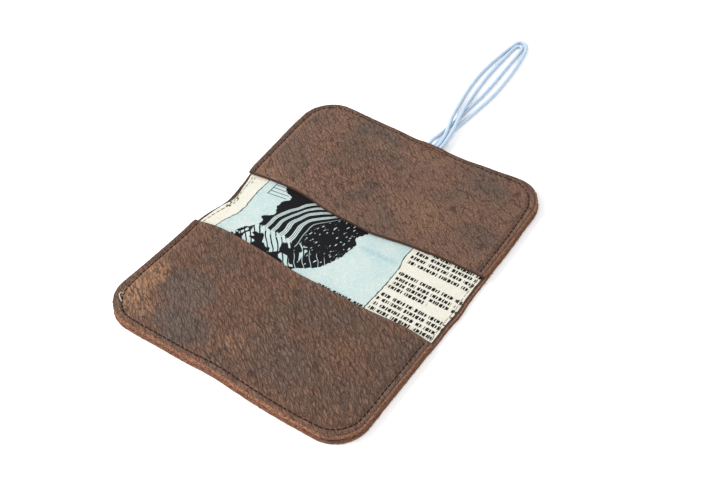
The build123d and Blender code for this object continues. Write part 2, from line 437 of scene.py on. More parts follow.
def elastic_material():
    """Round braided elastic: two sets of fine ribs that cross, over a pale blue, with painted shade
    between the ribs.
    """
    shader = Shader("elastic")
    place = shader.stored("rest")
    along, around, _ = shader.parts(place)
    one_way = (along + around * 5.6).sine(0.7)
    other_way = (along - around * 5.6).sine(0.7)
    braid = one_way.most(other_way)
    shader.colour = (0.455, 0.565, 0.690)
    shader.layer(shader.noise(place, 9.0, 2.0).step(0.35, 0.65), (0.500, 0.610, 0.720))
    # painted shade in the grooves between the braid's ribs
    shader.layer(braid.step(0.7, -0.2) * 0.36, (0.240, 0.360, 0.560))
    shader.bump(braid, 0.07)
    return shader.finish(0.70 + braid * 0.08, 0.25)


FADED_THREAD = (0.26, 0.18, 0.12)


def thread_material(name, dark, light):
    """Twisted thread. Stitches with a tone of 1 are faded."""
    shader = Shader(name)
    place = shader.stored("rest")
    along, around, tone = shader.parts(place)
    twist = (along + around * 0.9).sine(0.45)
    fuzz = shader.noise(place, 0.3, 3.0)
    shader.colour = dark
    shader.layer(twist.step(-0.6, 0.8), light)
    shader.layer(tone, FADED_THREAD)
    shader.bump(twist + fuzz * 0.8, 0.05)
    return shader.finish(0.60 + fuzz * 0.3, 0.15)


PALE_BLUE = (0.445, 0.525, 0.502)
DEEP_BLUE = (0.380, 0.492, 0.490)
CREASE_SHADE_BLUE = (0.305, 0.430, 0.455)
CREAM = (0.600, 0.580, 0.500)
AGED_CREAM = (0.530, 0.510, 0.430)
THIN_CLOTH = (0.270, 0.330, 0.330)
THICK_CLOTH = (0.640, 0.680, 0.650)
OIL = (0.300, 0.160, 0.080)
INK = (0.0060, 0.0060, 0.0072)
# Places on the lining as (y, x): the lines beside the margins, and the two sides of the ink
LEFT_LINE = (
    (-24, -51.5), (-14, -50.9), (-7.5, -49.0), (-1, -47.4), (5, -47.9), (12, -48.4), (24, -48.7),
)
RIGHT_LINE = (
    (-24, 27.6), (-16, 27.8), (-4, 28.3), (5, 28.3), (9, 27.7), (14, 26.9), (20, 27.1), (24, 27.6),
)
INK_LEFT = (
    (-24, -44.0), (-14, -42.5), (-10, -41.0), (-5, -36.8), (-2, -35.8), (0, -37.6), (4, -34.0),
    (8, -35.4), (11, -35.8), (15.5, -33.5), (17, -37.0), (24, -42.0),
)
INK_RIGHT = (
    (-24, -14.0), (-16, -7.5), (-13, -3.5), (-10, 0.2), (-6.5, 2.2), (-2, 4.2), (3, 5.3),
    (8, 6.2), (11, 4.2), (14, 5.7), (17, 6.6), (24, 4.0),
)
# Rows of ticks: y, and where they start and end in x
TICK_ROWS = (
    (20.2, 29.0, 60.5), (17.7, 29.3, 60.5), (14.9, 28.8, 60.0), (12.0, 29.0, 59.5),
    (4.9, 29.5, 60.0), (2.0, 29.2, 60.5), (-0.5, 29.4, 60.5), (-3.1, 29.4, 50.5),
    (-7.9, 29.2, 60.5), (-10.5, 29.0, 60.5), (-13.4, 29.2, 60.5), (-16.1, 29.0, 60.5),
    (-17.7, 5.0, 27.5),
)


def lining_material():
    """Printed plain-weave cotton: two cream margins with ruled ticks, a blue field, an ink shape."""
    shader = Shader("lining")
    place = shader.stored("rest")
    x, y, _ = shader.parts(place)
    drawn = (shader.noise(place, 2.5, 2.0) - 0.5) * 1.3
    left = x - shader.curve(y, LEFT_LINE) + drawn
    right = x - shader.curve(y, RIGHT_LINE) + drawn
    stain = shader.noise(place, 9.0, 4.0, 0.6)
    field = shader.mix(stain.step(0.36, 0.62), DEEP_BLUE, PALE_BLUE)
    # painted shade along a fold in the cloth, as a darker blue band
    creased = abs(y - 8.2 - (x - 8.0) * 0.02).step(2.0, 0.4) * x.step(5.0, 12.0) * x.step(30.0, 22.0)
    field = shader.mix(creased * 0.85, field, CREASE_SHADE_BLUE)
    shader.colour = shader.mix(stain.step(0.40, 0.75) * 0.45, CREAM, AGED_CREAM)
    shader.layer(left.step(-0.05, 0.05) * right.step(0.05, -0.05), field)
    slubs = shader.noise(shader.stretched(place, 0.0, 1.1, 0.5), 1.0, 2.0, 0.7)
    shader.layer(slubs.step(0.50, 0.30) * 0.24, THIN_CLOTH)
    shader.layer(slubs.step(0.52, 0.72) * 0.45, THICK_CLOTH)

    outlines = abs(left).step(0.30, 0.18).most(abs(right).step(0.30, 0.18))
    outlines = outlines * shader.noise(place, 0.7, 1.0).step(0.30, 0.42)
    shader.layer(ink_shape(shader, place, x, y).most(outlines).most(ruled_ticks(x, y)), INK)

    # oil from the hide has crept into the cloth beside the far mouth
    shader.layer((y + stain * 2.0).step(17.6, 20.0) * x.step(-47.0, -54.0) * 0.5, OIL)

    weave = x.sine(0.36) * y.sine(0.36)
    shader.bump(weave + shader.noise(place, 3.0, 2.0), 0.05)
    return shader.finish(0.85 + weave * 0.04, 0.12)


def ink_shape(shader, place, x, y):
    """A broad brushed patch of ink, with long ribbons left clear on its left side."""
    ragged = (shader.noise(place, 1.8, 3.0, 0.6) - 0.5) * 3.0
    body = (x - shader.curve(y, INK_LEFT) + ragged).step(-0.1, 0.1)
    body = body * (x - shader.curve(y, INK_RIGHT) + ragged).step(0.1, -0.1)

    # ribbons run down the patch and lean to the right at the top
    above = (y - 3.0).most(0.0)
    sway = (shader.noise(place, 11.0, 1.0) - 0.5) * 5.0
    across = x - above * above * 0.045 + sway
    strands = across.sine(4.1).step(-0.05, 0.12)
    hairlines = abs(across.sine(4.1 / 3)).step(0.60, 0.35)
    ribbon_area = (across + 16.0).step(0.5, -0.5) * (across + 33.5).step(-0.5, 0.5)
    ribbon_area = ribbon_area * (y + 6.5 + ragged).step(-0.5, 0.5)
    clear = strands * (1.0 - hairlines) * ribbon_area

    # lower down the ink breaks up round slanting strokes
    slant = (x + 28.0) * 0.766 + (y - 3.0) * 0.643 + (shader.noise(place, 8.0, 1.0) - 0.5) * 3.0
    lower = (y + 4.0 + ragged).step(0.4, -0.4) * (x + 9.0 + ragged).step(0.5, -0.5)
    islands = shader.noise(place, 5.5, 1.0, 0.5, 0.4).step(0.49, 0.52)
    hatching = slant.sine(2.1).step(0.55, 0.75)
    clear = clear.most(lower * islands * (1.0 - hatching))
    strokes = abs(slant.sine(6.3)).step(0.16, 0.06)
    clear = clear.most(strokes * (x + 13.0).step(-1.0, 1.0) * (y + 5.0).step(1.0, -1.0))

    # a ruled corner beside it
    in_corner = (x + 44.5).step(-0.1, 0.1) * (x + 35.0).step(0.1, -0.1)
    in_corner = in_corner * (y - 12.3 - (x + 44.5) * 0.12).step(-0.1, 0.1)
    rules = abs((y - x * 0.12).sine(4.0)).step(0.34, 0.16).most(abs(x + 44.3).step(0.26, 0.14))
    body = body.most(in_corner * rules)

    # a few dry flecks in the solid part
    flecks = shader.noise(shader.stretched(place, 1.4, 1.7, 0.62), 1.0, 0.0).step(0.735, 0.76)
    solid = (across + 15.0).step(-0.5, 0.5)
    return body * (1.0 - clear) * (1.0 - flecks * solid)


def ruled_ticks(x, y):
    """Rows of short ruled ticks of uneven length in the right-hand margin, and one along the mouth."""
    rows = []
    for row, (middle, first, last) in enumerate(TICK_ROWS):
        seed = 1.7 * row + middle
        uneven = x.sine(1.9, seed * 1.9) * 0.14 + x.sine(0.67, seed) * 0.12
        line = abs(y - middle) + uneven
        strokes = x.sine(0.92, seed) + x.sine(1.43, seed * 2.3) * 0.9
        gaps = x.sine(5.3, seed * 1.3) + x.sine(3.4, seed * 0.7)
        shown = strokes.step(-0.80, -0.50) * gaps.step(-1.30, -1.15)
        end = last - 3.0 * (0.5 + 0.5 * math.sin(seed * 3.7))
        inside = (x - first).step(0.0, 0.1) * (x - end).step(0.1, 0.0)
        rows.append(line.step(0.92, 0.74) * shown * inside)
    return reduce(Value.most, rows)


# ---- meshes


def keep_on_points(mesh, name, values):
    """A vector for each point, which the materials read."""
    attribute = mesh.attributes.new(name, "FLOAT_VECTOR", "POINT")
    attribute.data.foreach_set("vector", np.asarray(values, np.float32).ravel())


def new_piece(name, points, faces, material, rest=None, zone=None):
    """A closed mesh from points in millimetres, with what its material needs kept on the points."""
    mesh = bpy.data.meshes.new(name)
    mesh.from_pydata((np.asarray(points) * MM).tolist(), [], faces)
    keep_on_points(mesh, "rest", points if rest is None else rest)
    if zone is not None:
        keep_on_points(mesh, "zone", zone)
    work = bmesh.new()
    work.from_mesh(mesh)
    bmesh.ops.recalc_face_normals(work, faces=work.faces)
    for face in work.faces:
        face.smooth = True
    work.to_mesh(mesh)
    work.free()
    mesh.materials.append(material)
    piece = add_object(name, mesh)
    return piece


def bend_at_spine(piece):
    """Bakes the piece's placement into its points."""
    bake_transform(piece)


def as_vectors(x, y, z):
    """Three grids, or grids and numbers, as one list of vectors."""
    return np.stack(np.broadcast_arrays(x, y, z), -1).reshape(-1, 3)


def slab(x, y, top, bottom):
    """Points and faces of a closed slab over a grid of places, rows by columns."""
    rows, columns = x.shape
    count = rows * columns
    points = np.concatenate([as_vectors(x, y, z) for z in (top, bottom)])
    index = np.arange(count).reshape(rows, columns)
    corners = (index[:-1, :-1], index[:-1, 1:], index[1:, 1:], index[1:, :-1])
    quads = np.stack(corners, -1).reshape(-1, 4)
    border = np.concatenate((index[0, :], index[1:, -1], index[-1, -2::-1], index[-2:0:-1, 0]))
    following = np.roll(border, -1)
    sides = np.stack((border, following, following + count, border + count), -1)
    faces = np.concatenate((quads, quads[:, ::-1] + count, sides))
    return points, faces.tolist()


def lengths_along(line):
    """Distance from the start to each point of a line."""
    runs = np.linalg.norm(np.diff(line, axis=0), axis=1)
    return np.concatenate(([0.0], np.cumsum(runs)))


def tube(line, radius_of, sides):
    """Points, faces and (length along, turn around) of a closed tube along a line of points.

    radius_of gives the radius for lengths along the tube and angles round it.
    """
    line = np.asarray(line, float)
    along = lengths_along(line)
    tangents = np.gradient(line, along, axis=0)
    tangents /= np.linalg.norm(tangents, axis=1)[:, None]
    sideways = np.cross(tangents, (0.0, 0.0, 1.0))
    sideways /= np.linalg.norm(sideways, axis=1)[:, None]
    upwards = np.cross(sideways, tangents)
    turn = np.arange(sides) / sides
    angle = turn * math.tau
    radius = radius_of(along[:, None], angle[None, :]) * np.ones((len(line), sides))
    ring = sideways[:, None] * np.cos(angle)[:, None] + upwards[:, None] * np.sin(angle)[:, None]
    points = (line[:, None] + ring * radius[:, :, None]).reshape(-1, 3)
    rest = as_vectors(along[:, None], turn[None, :], 0.0)
    faces = []
    last = (len(line) - 1) * sides
    for start in range(0, last, sides):
        for j in range(sides):
            k = (j + 1) % sides
            faces.append((start + j, start + k, start + sides + k, start + sides + j))
    faces += [tuple(range(sides)), tuple(range(last, last + sides))]
    return points, faces, rest


def joined_piece(name, parts, material, lowest=0.0):
    """One piece from several (points, faces, rest), none of it below a height."""
    points, faces, rest = zip(*parts)
    starts = np.cumsum([0] + [len(part_points) for part_points in points])
    all_faces = [
        tuple(i + start for i in face) for start, part_faces in zip(starts, faces) for face in part_faces
    ]
    points = np.concatenate(points)
    points[:, 2] = np.maximum(points[:, 2], lowest)
    return new_piece(name, points, all_faces, material, np.concatenate(rest))


# ---- elastic

# The routes of the two loops, in metres: those of the CAD source, drawn together at the seam and
# laid a little further left beyond it
OUTER_ROUTE = (
    (0.0030, 0.0758, 0.0031), (0.0030, 0.0796, 0.0031), (0.0020, 0.0856, 0.00315),
    (-0.0003, 0.0922, 0.003), (-0.003, 0.1005, 0.0017), (-0.0052, 0.11, 0.00088),
    (-0.007, 0.1205, 0.00088), (-0.008, 0.131, 0.00088), (-0.0079, 0.141, 0.00088),
    (-0.0072, 0.1495, 0.00088), (-0.0065, 0.1558, 0.00088), (-0.0057, 0.1613, 0.00088),
    (-0.0043, 0.1665, 0.00088), (-0.0001, 0.1657, 0.00088), (0.0021, 0.1606, 0.00088),
    (0.0033, 0.1542, 0.00088), (0.0044, 0.146, 0.00088), (0.0052, 0.1365, 0.00088),
    (0.0056, 0.127, 0.00088), (0.0052, 0.1175, 0.00088), (0.0042, 0.108, 0.00088),
    (0.0033, 0.0988, 0.00088), (0.0022, 0.0905, 0.00088), (0.0014, 0.0846, 0.001),
    (0.0011, 0.0796, 0.0024), (0.0011, 0.0758, 0.0024),
)
INNER_ROUTE = (
    (0.0049, 0.0758, 0.0031), (0.0049, 0.0798, 0.0031), (0.0040, 0.0862, 0.00315),
    (0.0026, 0.0928, 0.00305), (0.0009, 0.1, 0.0029), (-0.0006, 0.1065, 0.0024),
    (-0.0022, 0.1145, 0.001), (-0.0033, 0.123, 0.00088), (-0.0041, 0.1325, 0.00088),
    (-0.0043, 0.142, 0.00088), (-0.0042, 0.1505, 0.00088), (-0.0042, 0.1583, 0.00088),
    (-0.0035, 0.1633, 0.00088), (-0.0005, 0.1628, 0.00088), (0.0001, 0.1578, 0.00088),
    (0.0002, 0.1514, 0.00088), (0.0005, 0.144, 0.00088), (0.0009, 0.1355, 0.00088),
    (0.0012, 0.127, 0.00088), (0.0011, 0.118, 0.00088), (0.0005, 0.1095, 0.00088),
    (0.0002, 0.1015, 0.00088), (-0.0004, 0.0945, 0.00088), (-0.0014, 0.0886, 0.00088),
    (-0.0018, 0.0838, 0.0011), (-0.0016, 0.0794, 0.0024), (-0.0014, 0.0758, 0.0024),
)


def nurbs_line(route):
    """The smooth line that a route's control points give, in metres."""
    data = bpy.data.curves.new("route", "CURVE")
    data.dimensions = "3D"
    data.resolution_u = 32
    spline = data.splines.new("NURBS")
    spline.points.add(len(route) - 1)
    for point, place in zip(spline.points, route):
        point.co = (*place, 1.0)
    spline.order_u = 3
    spline.use_endpoint_u = True
    holder = bpy.data.objects.new("route", data)
    mesh = bpy.data.meshes.new_from_object(holder)
    line = [tuple(vertex.co) for vertex in mesh.vertices]
    bpy.data.objects.remove(holder)
    bpy.data.curves.remove(data)
    bpy.data.meshes.remove(mesh)
    return line


def cord_radius(along, angle):
    """A braided sheath: two sets of low ribs that cross."""
    one_way = np.cos(math.tau * along / 1.4 + 3 * angle)
    other_way = np.cos(math.tau * along / 1.4 - 3 * angle)
    return CORD_RADIUS * (0.97 + 0.035 * np.maximum(one_way, other_way))


def make_loop(name, route, material):
    """One elastic loop, from the seam and back into it."""
    line = nurbs_line(route)
    points, faces, rest = tube(np.array(line) / MM, cord_radius, 18)
    loop = new_piece(name, points, faces, material, rest)
    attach(loop, "far_leaf")
    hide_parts("elastic_" + name)


elastic = elastic_material()
make_loop("outer_loop", OUTER_ROUTE, elastic)
make_loop("inner_loop", INNER_ROUTE, elastic)

# ---- outline of the hides


def smooth_curve(*points):
    """A smooth curve through given points."""
    xs, ys = np.array(points, float).T
    slopes = np.gradient(ys, xs)

    def value(x):
        i = np.clip(np.searchsorted(xs, x) - 1, 0, len(xs) - 2)
        step = xs[i + 1] - xs[i]
        t = np.clip((x - xs[i]) / step, 0, 1)
        height = ys[i] + (ys[i + 1] - ys[i]) * t * t * (3 - 2 * t)
        return height + step * (slopes[i] * t * (1 - t) ** 2 - slopes[i + 1] * t * t * (1 - t))

    return value


# How far the hand-cut edges run outside the plain outline
FAR_EDGE = smooth_curve(
    (-61, 1.0), (-48, 1.4), (-42, 1.35), (-34, 0.9), (-24, 0.5), (-16, 0.3), (-10, -0.2), (-4, -0.35),
    (2, -0.3), (8, -0.4), (13, -0.5), (19, -0.5), (28, 0.3), (35, 0.7), (43, 1.5), (50, 1.5), (61, 1.0),
)
NEAR_EDGE = smooth_curve(
    (-61, 0), (-40, 0.5), (-33, 0.3), (-14, 0), (-4, -0.5), (8, 0), (20, 0.5), (32, 0.65), (42, 0.35),
    (61, 0),
)
LEFT_EDGE = smooth_curve(
    (-76, 0.5), (-60, 1.1), (-48, 0.6), (-40, 0.2), (-24, -0.3), (-14, 0.1), (-10, 0.3), (-5, -0.1),
    (0, -0.5), (4, -0.6), (9, -0.9), (14, -1.4), (18, -1.1), (27, -0.5), (35, -0.1), (42, 0.3),
    (53, 0.9), (76, 0.5),
)
RIGHT_EDGE = smooth_curve(
    (-76, 0), (-49, 0), (-35, 0.2), (-20, 0.5), (-14, 1.1), (-10, 1.5), (-6, 2.0), (-1, 2.6), (3, 2.4),
    (7, 1.7), (10, 1.3), (14, 0.75), (20, 0.3), (40, 0.1), (56, -0.45), (76, -0.2),
)
# The pockets' mouths: distance from the spine along the case
NEAR_MOUTH = smooth_curve(
    (-62, 18), (-57, 17.2), (-50, 16.0), (-30, 16.2), (-20, 16.9), (-8, 18.3), (8, 18.5), (31, 18.7),
    (48, 18.0), (61, 19.2),
)
FAR_MOUTH = smooth_curve(
    (-61, 17.6), (-52, 18.6), (-44, 19.3), (-34, 19.4), (-27, 18.7), (-18, 17.1), (-8, 15.8), (0, 15.6),
    (7, 15.5), (14, 16.6), (21, 17.9), (30, 19.0), (38, 19.8), (50, 20.1), (61, 20.3),
)
# How far the lining's left edge runs outside its plain line
LINING_LEFT = smooth_curve(
    (-26, -0.3), (-11, -0.2), (-4, 0.3), (2, -1.0), (5, -1.1), (10, -0.6), (18, -0.3), (26, -0.3),
)


def round_corners(x, y, inset):
    """A square-cornered grid drawn in to the rounded corners, ring by ring."""
    width, length, radius = HALF_WIDTH - inset, LEAF_LENGTH - inset, CORNER_RADIUS - inset
    a = np.maximum((np.abs(x) - (width - radius)) / radius, 0)
    b = np.maximum((np.abs(y) - (length - radius)) / radius, 0)
    longest = np.maximum(a, b)
    squeeze = np.where((a > 0) & (b > 0), longest / np.maximum(np.hypot(a, b), 1e-9), 1.0)
    new_x = np.where(a > 0, np.sign(x) * (width - radius + radius * a * squeeze), x)
    new_y = np.where(b > 0, np.sign(y) * (length - radius + radius * b * squeeze), y)
    return new_x, new_y


def outward(x, y):
    """Unit direction towards the nearest edge of the plain outline, and the distance from it."""
    over_x = np.maximum(np.abs(x) - (HALF_WIDTH - CORNER_RADIUS), 0)
    over_y = np.maximum(np.abs(y) - (LEAF_LENGTH - CORNER_RADIUS), 0)
    to_side, to_end = HALF_WIDTH - np.abs(x), LEAF_LENGTH - np.abs(y)
    in_corner = (over_x > 0) & (over_y > 0)
    out = np.maximum(np.hypot(over_x, over_y), 1e-9)
    out_x = np.where(in_corner, over_x / out, (to_side <= to_end) * 1.0) * np.sign(x)
    out_y = np.where(in_corner, over_y / out, (to_side > to_end) * 1.0) * np.sign(y)
    inset = np.where(in_corner, CORNER_RADIUS - out, np.minimum(to_side, to_end))
    return out_x, out_y, inset


def spot(x, y, middle_x, middle_y, size):
    return np.exp(-((x - middle_x) ** 2 + (y - middle_y) ** 2) / size ** 2)


def cut_by_hand(x, y):
    """Points of the plain outline, moved to the waisted and slightly uneven one."""
    reach = np.abs(x) / HALF_WIDTH
    depth = np.where(x < 0, WAIST_DEPTHS[0], WAIST_DEPTHS[1])
    near_spine = np.minimum(np.abs(y), WAIST_HALF_LENGTH)
    waist = depth * (1 + np.cos(math.pi * near_spine / WAIST_HALF_LENGTH)) / 2
    sideways = np.where(x < 0, LEFT_EDGE(y), RIGHT_EDGE(y))
    endways = np.where(y < 0, NEAR_EDGE(x), FAR_EDGE(x))
    new_x = x + np.sign(x) * (sideways * reach ** 2 - waist * reach)
    new_y = y + np.sign(y) * endways * (np.abs(y) / LEAF_LENGTH) ** 4

    # the seam wanders in its allowance, and the near left corner bulges
    out_x, out_y, inset = outward(x, y)
    wander = np.where(x < 0, np.where(y < 0, 0.15, 0.4), 0.1) * out_x ** 2
    wander = wander + np.where(y < 0, 0.0, 1.0) * out_y ** 2
    for middle_x, middle_y, size, amount in SEAM_WANDERS:
        wander = wander + amount * spot(x, y, middle_x, middle_y, size)
    on_leaf = smooth_step(np.abs(y), 15, 22)
    push = wander * on_leaf * np.clip(1 - ((inset - SEAM_INSET) / SEAM_INSET) ** 2, 0, 1) ** 2
    push = push + 0.4 * spot(x, y, -59, -64, 7) * smooth_step(inset, 5.5, 0)
    return new_x + push * out_x, new_y + push * out_y


def noise_at(u, v, seed):
    """Smooth noise at each place of two grids."""
    values = [noise.noise((a, b, seed)) for a, b in zip(u.ravel(), v.ravel())]
    return np.array(values).reshape(u.shape)


def noise_field(x, y, along, across, seed, bend=0.0):
    """Smooth noise, stretched along the creases of the hide, which turn steeper towards +x."""
    u = (x * math.cos(GRAIN_ANGLE) + y * math.sin(GRAIN_ANGLE)) / along
    drop = -math.tan(GRAIN_ANGLE) * x + bend * np.maximum(x - 5, 0) ** 2
    return noise_at(u, (y + drop) * math.cos(GRAIN_ANGLE) / across, seed)


def smooth_step(value, low, high):
    t = np.clip((value - low) / (high - low), 0, 1)
    return t * t * (3 - 2 * t)


BORDER = np.array((0, 0.1, 0.25, 0.5, 0.9, 1.5, 2.2, 2.7, 3.0, 3.3, 3.6, 3.9, 4.4, 5.2))
MOUTH_BORDER = np.array((0, 0.1, 0.25, 0.5, 0.9, 1.5))


def stations(low, high, step, low_border, high_border):
    """Grid positions that crowd together at both ends."""
    start, end = low + low_border[-1], high - high_border[-1]
    count = max(2, round((end - start) / step) + 1)
    middle = np.linspace(start, end, count)[1:-1]
    return np.concatenate((low + low_border, middle, (high - high_border)[::-1]))


def bell(offset, width):
    """1 at an offset of 0, fading over the width."""
    return np.exp(-(offset / width) ** 2)


def edge_drop(inset, radius):
    """How much an eased edge falls away."""
    out = np.clip(radius - inset, 0, radius)
    return radius - np.sqrt(radius ** 2 - out ** 2)


def seam_groove(inset):
    return bell(inset - SEAM_INSET, 0.4)


# ---- outer hide


def hide_grid(inset, step):
    """Grid of a full-length layer: plain x and y, real x and y, and distance from the outline."""
    width, length = HALF_WIDTH - inset, LEAF_LENGTH - inset
    columns = stations(-width, width, step, BORDER, BORDER)
    rows = stations(-length, length, step, BORDER, BORDER)
    rows = np.unique(np.concatenate((rows, np.arange(-FOLD_REACH, FOLD_REACH + 0.1, 0.75))).round(3))
    x, y = np.meshgrid(columns, rows)
    distance = inset + np.minimum(width - np.abs(x), length - np.abs(y))
    x, y = round_corners(x, y, inset)
    real_x, real_y = cut_by_hand(x, y)
    return x, y, real_x, real_y, distance


def ragged_edge(x, y, distance, seed):
    """The outermost points, pushed in and out a little."""
    share = np.clip(1 - distance / 0.3, 0, 1)
    push = noise_at(x * 0.9, y * 0.9, seed) * share * 0.22
    return x + np.sign(x) * push, y + np.sign(y) * push


def make_hide(material):
    """The outer hide: one piece across both leaves and the spine."""
    x, y, real_x, real_y, distance = hide_grid(0.0, HIDE_GRID)
    real_x, real_y = ragged_edge(real_x, real_y, distance, 3.0)
    gutter = 1 - smooth_step(np.abs(y), 14, 18)
    lip = gutter * bell(distance - 0.6, 0.9) * 0.35
    unevenness = noise_field(x, y, 9, 5, 1.5) * 0.08 * gutter
    rounding = edge_drop(distance, 0.55)
    bottom = rounding + GROOVE_DEPTHS["underside"] * seam_groove(distance)
    points, faces = slab(real_x, real_y, COVER_TOP - rounding + lip + unevenness, bottom)
    # what its material reads: distance from the edge, distance from a mouth (it has none), valleys
    from_edge = distance * SEAM_FROM_EDGE / SEAM_INSET
    no_mouth = 50.0
    valley = gutter * np.where(x < 0, 0.75, 1.45 * smooth_step(distance, 0.7, 1.1))
    zone = np.concatenate([as_vectors(from_edge, no_mouth, v) for v in (valley, 0.0)])
    hide = new_piece("outer_hide", points, faces, material, zone=zone)
    bend_at_spine(hide)
    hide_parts("near_cover", "far_cover")


def make_lining(material):
    """The printed lining, sewn down all round."""
    x, y, real_x, real_y, distance = hide_grid(LINING_INSET, LINING_GRID)
    gutter = 1 - smooth_step(np.abs(y), 12, 16)
    # its raw side edges are not quite straight
    reach = np.abs(x) / LINING_REACH
    pull = np.where(x < 0, LINING_LEFT(y), -0.6) * reach ** 6 * (1 - smooth_step(np.abs(y), 20, 26))
    real_x = real_x + np.sign(x) * pull
    puckers = 0.10 * np.cos(y * math.tau / STITCH_PITCH) * bell(distance - 2.4, 1.0)
    sag = noise_field(x, y, 7, 7, 8.0) * 0.10 * smooth_step(distance, 3, 8)
    top = LINING_TOP + (puckers + sag) * gutter - GROOVE_DEPTHS["lining"] * seam_groove(distance)
    points, faces = slab(real_x, real_y, top, top - LINING_THICKNESS)
    lining = new_piece("printed_lining", points, faces, material)
    bend_at_spine(lining)
    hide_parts("near_lining", "far_lining")


# ---- pocket panels

LEAVES = {
    "near": {"sign": -1, "mouth": NEAR_MOUTH, "seed": 11.0, "bend": 0.006},
    "far": {"sign": 1, "mouth": FAR_MOUTH, "seed": 23.0, "bend": 0.0},
}
# Single long creases: places (x, and y out from the spine), and strength
CREASE_LINES = {
    "near": (
        (((23.5, 29.6), (34, 39)), 0.8),
        (((26.4, 24), (33, 28), (39.5, 33)), 0.8),
        (((33.8, 26.5), (44.5, 32.4)), 0.7),
        (((16, 27), (24.5, 33.7)), 0.6),
        (((34, 22), (36, 33), (40, 45)), 0.5),
    ),
    "far": (
        (((36, 27), (36.3, 35), (42.8, 44.5), (46.5, 52.4), (48.6, 63.4)), 0.75),
        (((41.8, 32), (42.5, 45), (46, 53.6)), 0.55),
        (((28, 69), (40, 71), (50, 68)), 0.4),
    ),
}


def creasing(side, x, y):
    """How strongly a leaf is creased, 0 to 1. y is out from the spine."""
    if side == "near":
        smooth_middle = 0.75 * np.exp(-((x + 34) / 13) ** 2 - ((y - 53) / 15) ** 2)
        smooth_left = 0.6 * bell(x + 57, 8)
        return np.clip(1 - smooth_middle - smooth_left, 0, 1)
    worked = 0.75 * np.exp(-((x + 16) / 24) ** 2 - ((y - 42) / 26) ** 2)
    return np.clip(0.32 + worked, 0, 1)


def stroke_share(x, y, places, width):
    """1 along a line through places, fading over its width."""
    nearest = np.full(x.shape, np.inf)
    for (ax, ay), (bx, by) in zip(places[:-1], places[1:]):
        length = (bx - ax) ** 2 + (by - ay) ** 2
        t = np.clip(((x - ax) * (bx - ax) + (y - ay) * (by - ay)) / length, 0, 1)
        nearest = np.minimum(nearest, np.hypot(x - ax - t * (bx - ax), y - ay - t * (by - ay)))
    return bell(nearest, width)


def creases_at(side, x, y):
    """Depth of the creases, 0 on a crest to 1 in a valley. x is real, y is out from the spine."""
    leaf = LEAVES[side]
    real_y = y * leaf["sign"]
    wave = noise_field(x, real_y, 4.0, 4.0, leaf["seed"] + 5) * 1.1
    folds = noise_field(x, real_y + wave, 6.5, 1.75, leaf["seed"] + 1, leaf["bend"])
    small_folds = noise_field(x, real_y + wave * 0.5, 3.2, 1.1, leaf["seed"] + 3, leaf["bend"])
    valley = bell(folds, 0.15)
    small_valley = 0.75 * bell(small_folds, 0.14)
    depth = np.maximum(valley, small_valley) * creasing(side, x, y)
    for places, strength in CREASE_LINES[side]:
        depth = np.maximum(depth, strength * stroke_share(x, y, places, 0.42))
    return depth


def panel_surface(side, x, y, inset, from_mouth):
    """Heights of a panel's two faces, and the depth of its creases.

    x and y are plain outline places, y out from the spine.
    """
    leaf = LEAVES[side]
    pocket = smooth_step(inset, 3.5, 6.5)
    swell = 0.14 + 0.14 * noise_field(x, y, 26, 18, leaf["seed"]) * smooth_step(inset, 4, 14)
    body = STACK_TOP + pocket * swell
    under_lift = 0.0
    if side == "far":
        arch = bell(x + 1, 17) * (1 - smooth_step(from_mouth, 0, 26))
        body = body + 0.85 * arch * pocket
        over_elastic = smooth_step(x, -6.5, -2.5) * (1 - smooth_step(x, 6.5, 10.5))
        splay = over_elastic * (1 - smooth_step(inset, 0.5, 4.5))
        bulge = over_elastic * (1 - smooth_step(inset, 4, 9))
        body = body + 0.25 * bulge + 0.2 * splay
        under_lift = 0.6 * bulge + 0.4 * splay
    depth = creases_at(side, x, y) * smooth_step(inset, 3.4, 4.6) * smooth_step(from_mouth, 0, 2)
    lumps = 0.03 * noise_field(x, y, 2.6, 1.5, leaf["seed"] + 2) * smooth_step(inset, 0.6, 1.5)
    rounding = edge_drop(np.minimum(inset - PANEL_INSET, from_mouth), 0.5)
    top = body - CREASE_DEPTH * depth + lumps - GROOVE_DEPTHS["panel"] * seam_groove(inset)
    return top - rounding, body - PANEL_THICKNESS + under_lift + rounding, depth


def panel_place(side, x, y):
    """Real x and y of a place on a leaf, y out from the spine."""
    return cut_by_hand(x, y * LEAVES[side]["sign"])


def mouth_warp(side, x, y):
    """Rows that run along the mouth near it, and straight further out."""
    share = np.clip((y - MOUTH_BASE) / (LEAF_LENGTH - MOUTH_BASE), 0, 1)
    return y + (LEAVES[side]["mouth"](x) - MOUTH_BASE) * (1 - share) ** 2.5


def make_panel(side, material):
    """A pocket panel, stitched down round three sides and open at its mouth."""
    width, length = HALF_WIDTH - PANEL_INSET, LEAF_LENGTH - PANEL_INSET
    columns = stations(-width, width, PANEL_GRID, BORDER, BORDER)
    rows = stations(MOUTH_BASE, length, PANEL_GRID, MOUTH_BORDER, BORDER)
    x, y = np.meshgrid(columns, rows)
    inset = PANEL_INSET + np.minimum(width - np.abs(x), length - y)
    from_mouth = y - MOUTH_BASE
    x, y = round_corners(x, y, PANEL_INSET)
    y = mouth_warp(side, x, y)
    top, bottom, depth = panel_surface(side, x, y, inset, from_mouth)
    real_x, real_y = panel_place(side, x, y)
    real_x, real_y = ragged_edge(real_x, real_y, inset - PANEL_INSET, 5.0)
    points, faces = slab(real_x, real_y, top, bottom)
    zone = np.tile(as_vectors(inset - PANEL_INSET, from_mouth, depth), (2, 1))
    panel = new_piece(side + "_pocket", points, faces, material, zone=zone)
    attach(panel, side + "_leaf")
    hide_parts(side + "_pocket_panel")


# ---- stitches


